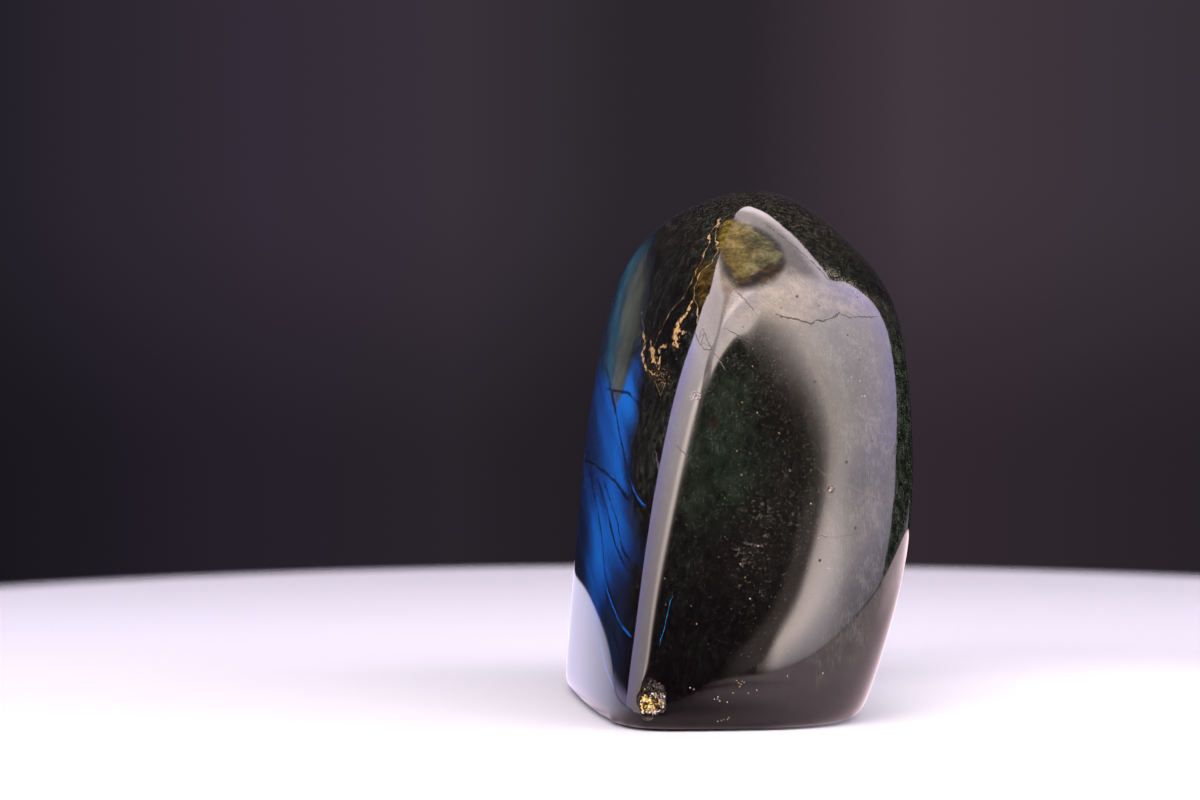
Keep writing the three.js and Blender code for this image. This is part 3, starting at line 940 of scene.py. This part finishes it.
def soft_step(value, start, end):
    """0 before start, 1 after end, smooth between; start may lie above end."""
    share = np.clip((value - start) / (end - start), 0, 1)
    return share * share * (3 - 2 * share)


def drawn(values, curve):
    """Value of a drawn curve, given as (place, value), at each place."""
    return np.interp(values, [point[0] for point in curve], [point[1] for point in curve])


def glowing(piece, radiance, name, unlit):
    """Makes a piece of the stage glow, unseen by the camera, and deletes its unlit points."""
    glow = np.ones((len(radiance), 4))
    glow[:, :3] = radiance
    piece.data.attributes.new("glow", "FLOAT_COLOR", "POINT").data.foreach_set("color", glow.ravel())
    lamp = Paint(bpy.data.materials.new(name))
    lamp_colour = lamp.made("Attribute", {}, output="Color", attribute_name="glow")
    shine = lamp.made("Emission", {"Color": lamp_colour})
    lamp.feed(lamp.part("Material Output").inputs["Surface"], shine)
    piece.data.materials.append(lamp.owner)
    piece.visible_camera = False
    pick(piece)
    bpy.ops.object.mode_set(mode="EDIT")
    bpy.ops.mesh.select_mode(type="VERT")
    bpy.ops.mesh.select_all(action="DESELECT")
    bpy.ops.object.mode_set(mode="OBJECT")
    piece.data.vertices.foreach_set("select", unlit)
    bpy.ops.object.mode_set(mode="EDIT")
    bpy.ops.mesh.delete(type="VERT")
    bpy.ops.object.mode_set(mode="OBJECT")


sheet_cells = round(2 * SHEET_HALF / SHEET_STEP)
bpy.ops.object.select_all(action="DESELECT")
bpy.ops.mesh.primitive_grid_add(
    x_subdivisions=sheet_cells,
    y_subdivisions=sheet_cells,
    size=2 * SHEET_HALF * MILLIMETRE,
    location=(0, 0, SHEET_LIFT * MILLIMETRE),
)
sheet = bpy.context.object
sheet.name = "table_glow"
sheet_x, sheet_y, _ = (read_vectors(sheet.data.vertices, "co") / MILLIMETRE).T
# The glow is the table's light as the stone mirrors it: painted shade at the front, darkest at the front
# left, painted contact shadow round the stone's base, and more light to the right.
front_share = drawn(sheet_x, SHEET_FRONT_SHARE)
near_fade = soft_step(sheet_y, *SHEET_NEAR_FADE)
front_share = front_share * np.maximum(near_fade, soft_step(sheet_x, *SHEET_NEAR_FADE_END))
rear_share = soft_step(sheet_y, *SHEET_TURN)
lit_share = (front_share + (1 - front_share) * rear_share)[:, None]
left_share = (rear_share * soft_step(sheet_x, *SHEET_LEFT))[:, None]
sheet_radiance = lit_share * SHEET_COLOUR * (1 - left_share) + SHEET_LEFT_COLOUR * left_share
widening = np.where(sheet_x < 0, SHEET_LEFT_WIDENING, SHEET_RIGHT_WIDENING)
sheet_way = np.hypot(sheet_x * (1 - widening * soft_step(sheet_y, *SHEET_WIDE_DEPTH)), sheet_y)
long_share = (1 - soft_step(sheet_way, *SHEET_LONG_FADE)) * soft_step(sheet_x, *SHEET_LONG_TURN)
rim_share = np.maximum(1 - soft_step(sheet_way, *SHEET_FADE), long_share * (1 - rear_share))
# Painted contact shadow: the glow fades out around the outline of the stone's base.
contact_share = soft_step(outline_depth(sheet_x, sheet_y, BASE_OUTLINE), *SHEET_CONTACT_SHADOW)
right_share = soft_step(sheet_x, *SHEET_RIGHT) * soft_step(sheet_y, *SHEET_RIGHT_DEPTH)
sheet_gain = rim_share * contact_share * (1 + SHEET_RIGHT_GAIN * right_share)
sheet_gain = sheet_gain * (1 - SHEET_FAR_LEFT_DIM * soft_step(sheet_x, *SHEET_FAR_LEFT))
beyond_rim = (rim_share < SHEET_LEAST) & (sheet_way > SHEET_DARK_RIM)
glowing(sheet, sheet_radiance * sheet_gain[:, None], "table_glow", beyond_rim)
sheet.visible_diffuse = False
sheet.visible_shadow = False


# The light tent
# A white cloth arch over the table, open towards the camera and lit from outside. Its depth is
# lavender, a slot is left open overhead, and a fold runs over it beside the slot.
TENT_HALF_WIDTH = 450
TENT_HEIGHT = 520
TENT_SQUARENESS = 3
TENT_BELOW = 90
TENT_SIDES = 1200
TENT_LEAST = 0.02
TENT_DEPTH = (-2600, 480)
TENT_STEP = (5, 10)
TENT_GIRTH_SCALE = 6
TENT_FRONT_EDGE = [
    (-910, -330), (-760, -320), (-730, -295), (-702, -238), (-682, -240), (-650, -280), (-600, -335),
    (-550, -388), (-500, -442), (-450, -512), (-400, -556), (-350, -580), (-300, -588), (-250, -582),
    (-200, -562), (-150, -535), (-100, -492), (-50, -450), (0, -420), (50, -398), (90, -360), (120, -290),
    (150, -215), (200, -195), (300, -222), (400, -268), (500, -300), (560, -302), (650, -298), (700, -312),
    (735, -345), (748, -400), (758, -480), (766, -560), (771, -650), (777, -790), (785, -900), (806, -1080),
    (830, -1300), (910, -1300),
]
TENT_REAR_EDGE = [
    (-910, 130), (-790, 125), (-767, 108), (-740, 98), (-695, 93), (-633, 48), (-582, -2), (-531, -42),
    (-479, -66), (-407, -70), (-300, -62), (-220, -48), (-180, -18), (-150, 25), (-128, 70), (-112, 120),
    (-104, 250), (-92, 330), (-80, 370), (-60, 392), (-36, 387), (0, 300), (30, 240), (60, 182), (100, 120),
    (150, 75), (200, 36), (250, 6), (300, -12), (342, -34), (360, -18), (380, 20), (405, 44), (450, 66),
    (480, 68), (520, 56), (560, 38), (600, 18), (650, 4), (700, -12), (740, -40), (790, -46), (820, -40),
    (910, -40),
]
TENT_REAR_SOFT = (-6, 6)
TENT_SLOT = [
    (-118, 340), (-95, 290), (-75, 230), (-50, 182), (-20, 140), (20, 95), (60, 50), (90, 20), (118, -15),
    (148, -52), (148, -74), (130, -88), (100, -96), (60, -97), (20, -98), (-10, -90), (-36, -66), (-62, -34),
    (-88, 6), (-112, 60), (-125, 120),
]
TENT_SLOT_SOFT = (-26, 14)
TENT_SLOT_DIM = 0.93
TENT_SLOT_SHADE = [
    (-90, 385), (-60, 330), (-20, 262), (10, 202), (40, 152), (80, 97), (120, 52), (170, 12), (220, -22),
    (270, -46), (310, -66), (250, -82), (200, -84), (150, -80), (60, -60), (0, 0), (-50, 100), (-112, 250),
]
TENT_SLOT_SHADE_SOFT = (-20, 22)
TENT_SLOT_SHADE_DIM = 0.58
TENT_FOLD = [
    (-570, -420), (-500, -480), (-450, -545), (-415, -540), (-380, -500), (-340, -488), (-300, -455),
    (-250, -410), (-200, -360), (-150, -298), (-110, -235), (-60, -162), (-20, -102), (-50, -55), (-92, 20),
    (-115, 40), (-102, -60), (-88, -118), (-112, -172), (-152, -232), (-200, -308), (-260, -358),
    (-320, -384), (-400, -386), (-480, -382), (-545, -392),
]
TENT_FOLD_SOFT = (-14, 22)
TENT_FOLD_DIMS = (0.45, 0.25)
TENT_FOLD_LEFT = (-330, -460)
TENT_FOLD_RIGHT = (-160, -90)
TENT_STREAK = [
    (-190, -350), (-120, -302), (-60, -247), (0, -192), (50, -142), (75, -115), (40, -112), (-10, -152),
    (-60, -200), (-110, -248), (-160, -305),
]
TENT_STREAK_SOFT = (-8, 10)
TENT_STREAK_GAIN = 0.45
TENT_LEVELS = [
    (-910, 2.2), (-780, 2.5), (-710, 3.2), (-670, 4.0), (-640, 4.8), (-580, 6.0), (-493, 7.6), (-315, 7.6),
    (-150, 7.0), (-67, 7.8), (0, 7.6), (60, 7.0), (140, 6.6), (320, 6.6), (350, 5.8), (420, 5.5), (475, 5.0),
    (530, 4.4), (600, 4.0), (700, 3.8), (765, 4.0), (790, 3.6), (805, 3.0), (830, 2.4), (846, 1.2),
    (862, 0.0), (910, 0.0),
]
TENT_FADE = [
    (-910, 22), (-640, 18), (-580, 30), (-450, 28), (-330, 16), (-60, 18), (0, 20), (70, 45), (130, 110),
    (200, 140), (400, 160), (520, 105), (640, 70), (720, 45), (748, 45), (775, 60), (910, 60),
]
TENT_CREST = [
    (-910, 0.0), (-780, 0.2), (-740, 0.8), (-560, 0.7), (-450, 0.3), (-380, 0.1), (500, 0.1), (700, 0.15),
    (740, 0.3), (760, 0.7), (785, 1.2), (910, 1.2),
]
TENT_CREST_PLACE = [(-910, 38), (-450, 30), (-380, 62), (740, 62), (785, 120), (910, 120)]
TENT_CREST_WIDTH = [(-910, 34), (-450, 30), (-380, 52), (740, 52), (775, 200), (910, 200)]
TENT_FAR_FADE = [(-910, 0), (700, 0), (745, 0.75), (910, 0.75)]
TENT_FAR_DEPTH = (-880, -1240)
TENT_DIM_START = [
    (-910, -220), (-560, -200), (-300, 150), (120, 180), (300, 0), (640, -100), (745, -310), (910, -310),
]
TENT_DIM_END = [
    (-910, 190), (-560, 160), (-300, 420), (120, 400), (300, 200), (640, 60), (745, -170), (910, -170),
]
TENT_DIM_SHARE = [
    (-910, 0.1), (-560, 0.25), (-300, 0.35), (120, 0.35), (400, 0.1), (720, 0.12), (760, 0.36), (910, 0.36),
]
TENT_SHELF = [
    (716, -380), (704, -480), (704, -529), (711, -655), (725, -801), (732, -1074), (745, -1690),
    (752, -2590), (890, -2590), (850, -1690), (830, -1300), (785, -900), (772, -640), (756, -460),
    (740, -380),
]
TENT_SHELF_FADE = (-2580, -1250)
TENT_SHELF_SOFT = (-14, 18)
TENT_SHELF_LEVEL = 0.5
TENT_LEFT_HEM = [(-784, 60), (-790, 170), (-800, 260), (-816, 400), (-824, 480), (-940, 480), (-940, 60)]
TENT_LEFT_HEM_SOFT = (-6, 10)
TENT_LEFT_HEM_LEVEL = 1.3
TENT_RIGHT_HEM = [(826, -470), (822, 480), (940, 480), (940, -470)]
TENT_RIGHT_HEM_SOFT = (-4, 60)
TENT_RIGHT_HEM_LEVEL = 1.5
TENT_GREY = np.array((1.07, 0.93, 1.00))
TENT_PINK = np.array((1.12, 0.93, 0.93))
TENT_PINK_SHARE = [(-910, 0), (-520, 0), (-420, 1), (240, 1), (400, 0), (910, 0)]
TENT_VIOLET = np.array((0.93, 0.80, 1.36))
TENT_VIOLET_SHARE = [
    (-910, 1), (-540, 1), (-460, 0.1), (-60, 0.1), (330, 0.2), (420, 0.8), (720, 0.8), (760, 0.3),
    (910, 0.3),
]
TENT_VIOLET_REACH = (190, 20)
TENT_CREAM = np.array((1.16, 0.95, 0.88))
TENT_CREAM_REACH = [(-910, 160), (740, 160), (775, 420), (910, 420)]
TENT_CREAM_SOFT = (1, 0.12)
TENT_BROWN = np.array((1.06, 0.94, 0.84))

half_turn = np.linspace(0, math.pi, TENT_SIDES)
power = 2 / TENT_SQUARENESS
arch_x = -TENT_HALF_WIDTH * np.sign(np.cos(half_turn)) * np.abs(np.cos(half_turn)) ** power
arch_z = TENT_HEIGHT * np.abs(np.sin(half_turn)) ** power
arch_x = np.concatenate(([-TENT_HALF_WIDTH], arch_x, [TENT_HALF_WIDTH]))
arch_z = np.concatenate(([-TENT_BELOW], arch_z, [-TENT_BELOW]))
arch_way = np.concatenate(([0], np.cumsum(np.hypot(np.diff(arch_x), np.diff(arch_z)))))
half_girth = arch_way[-1] / 2
cells_round = round(2 * half_girth / TENT_STEP[0])
cells_deep = round((TENT_DEPTH[1] - TENT_DEPTH[0]) / TENT_STEP[1])
bpy.ops.object.select_all(action="DESELECT")
bpy.ops.mesh.primitive_grid_add(x_subdivisions=cells_round, y_subdivisions=cells_deep, size=1)
tent = bpy.context.object
tent.name = "light_tent"
flat = read_vectors(tent.data.vertices, "co")
girth = flat[:, 0] * 2 * half_girth
deep = TENT_DEPTH[0] + (flat[:, 1] + 0.5) * (TENT_DEPTH[1] - TENT_DEPTH[0])
tent_x = np.interp(girth + half_girth, arch_way, arch_x)
tent_z = np.interp(girth + half_girth, arch_way, arch_z)
tent.data.vertices.foreach_set("co", (np.stack((tent_x, deep, tent_z), 1) * MILLIMETRE).ravel())


def tent_area(outline, soft):
    """Share of an outline drawn on the cloth as (girth, depth)."""
    return soft_step(outline_depth(girth, deep, outline), *soft)


def tinted(tint, share, other):
    """A tint that turns to another one by a share per point."""
    return tint * (1 - share[:, None]) + other * share[:, None]


far_girth = 3 * TENT_GIRTH_SCALE * half_girth
front_outline = [(TENT_GIRTH_SCALE * place, edge) for place, edge in TENT_FRONT_EDGE]
front_outline += [(far_girth, TENT_FRONT_EDGE[-1][1]), (far_girth, far_girth)]
front_outline += [(-far_girth, far_girth), (-far_girth, TENT_FRONT_EDGE[0][1])]
from_front = outline_depth(TENT_GIRTH_SCALE * girth, deep, front_outline)
from_rear = drawn(girth, TENT_REAR_EDGE) - deep
rise = np.exp(np.minimum(from_front, 0) / drawn(girth, TENT_FADE))
from_crest = (from_front - drawn(girth, TENT_CREST_PLACE)) / drawn(girth, TENT_CREST_WIDTH)
crest = 1 + drawn(girth, TENT_CREST) * np.exp(-(from_crest ** 2))
dim_start = drawn(girth, TENT_DIM_START)
dim_end = drawn(girth, TENT_DIM_END)
dim = 1 - drawn(girth, TENT_DIM_SHARE) * soft_step(deep, dim_start, dim_end)
fold = tent_area(TENT_FOLD, TENT_FOLD_SOFT)
fold_dim = 1 - fold * (TENT_FOLD_DIMS[0] + TENT_FOLD_DIMS[1] * soft_step(girth, *TENT_FOLD_LEFT))
streak = 1 + TENT_STREAK_GAIN * tent_area(TENT_STREAK, TENT_STREAK_SOFT)
slot_shade = 1 - TENT_SLOT_SHADE_DIM * tent_area(TENT_SLOT_SHADE, TENT_SLOT_SHADE_SOFT)
slot = 1 - TENT_SLOT_DIM * tent_area(TENT_SLOT, TENT_SLOT_SOFT)
far_dim = 1 - drawn(girth, TENT_FAR_FADE) * soft_step(deep, *TENT_FAR_DEPTH)
bright = rise * crest * dim * drawn(girth, TENT_LEVELS) * fold_dim * streak
bright = bright * soft_step(from_rear, *TENT_REAR_SOFT) * np.minimum(slot_shade, slot) * far_dim
shelf = tent_area(TENT_SHELF, TENT_SHELF_SOFT) * soft_step(deep, *TENT_SHELF_FADE)
bright = np.maximum(bright, TENT_SHELF_LEVEL * shelf)
bright = np.maximum(bright, TENT_LEFT_HEM_LEVEL * tent_area(TENT_LEFT_HEM, TENT_LEFT_HEM_SOFT))
bright = np.maximum(bright, TENT_RIGHT_HEM_LEVEL * tent_area(TENT_RIGHT_HEM, TENT_RIGHT_HEM_SOFT))
violet = soft_step(from_rear, *TENT_VIOLET_REACH) * drawn(girth, TENT_VIOLET_SHARE)
creamy = soft_step(from_front / drawn(girth, TENT_CREAM_REACH), *TENT_CREAM_SOFT)
tint = tinted(TENT_GREY, drawn(girth, TENT_PINK_SHARE), TENT_PINK)
tint = tinted(tint, violet, TENT_VIOLET)
tint = tinted(tint, creamy, TENT_CREAM)
tint = tinted(tint, fold * soft_step(girth, *TENT_FOLD_RIGHT), tint * TENT_BROWN)
glowing(tent, bright[:, None] * tint, "lit_cloth", bright < TENT_LEAST)


# The dark room
# A dim, plain room behind the table.
ROOM_SPAN = 0.18
ROOM_TONES = (
    (0.00, (0.018, 0.015, 0.022)),
    (0.22, (0.034, 0.026, 0.041)),
    (0.38, (0.040, 0.031, 0.042)),
    (0.52, (0.026, 0.021, 0.027)),
    (0.62, (0.025, 0.020, 0.026)),
    (0.76, (0.055, 0.040, 0.051)),
    (1.00, (0.038, 0.030, 0.039)),
)
ROOM_FLOOR_SHADE = 0.55
ROOM_LEVELS = (-0.06, 0.03)
ROOM_FAR_ANGLES = (0.2, 1.2)
ROOM_FAR_COLOUR = (0.026, 0.021, 0.029)

wall = Paint(bpy.data.worlds.new("dark_room"))
bpy.context.scene.world = wall.owner
towards = wall.node("SeparateXYZ")
wall.feed(towards.inputs[0], wall.made("TexCoord", {}, output="Generated"))
sideways = wall.math("ARCTAN2", towards.outputs["X"], towards.outputs["Y"])
across_room = wall.add(wall.times(sideways, 0.5 / ROOM_SPAN), 0.5)
far_aside = wall.edge(wall.math("ABSOLUTE", sideways), *ROOM_FAR_ANGLES)
wall_colour = wall.mix(far_aside, wall.tones(across_room, ROOM_TONES), ROOM_FAR_COLOUR)
low_wall = wall.mix(ROOM_FLOOR_SHADE, (0, 0, 0), wall_colour)
wall_colour = wall.mix(wall.edge(towards.outputs["Z"], *ROOM_LEVELS), low_wall, wall_colour)
wall.feed(wall.part("Background").inputs["Color"], wall_colour)


# The camera
# Level with the stone, a little to its left and looking slightly down.
CAMERA_PLACE = (-0.02358, -0.58458, 0.07591)
CAMERA_DOWN = math.radians(2.23)
CAMERA_LENS = 100
CAMERA_SENSOR = 36

camera_data = bpy.data.cameras.new("camera")
camera_data.lens = CAMERA_LENS
camera_data.sensor_width = CAMERA_SENSOR
camera = bpy.data.objects.new("camera", camera_data)
camera.location = CAMERA_PLACE
camera.rotation_euler = (math.radians(90) - CAMERA_DOWN, 0, 0)
bpy.context.scene.collection.objects.link(camera)
bpy.context.scene.camera = camera
bpy.context.scene.view_settings.view_transform = "Standard"
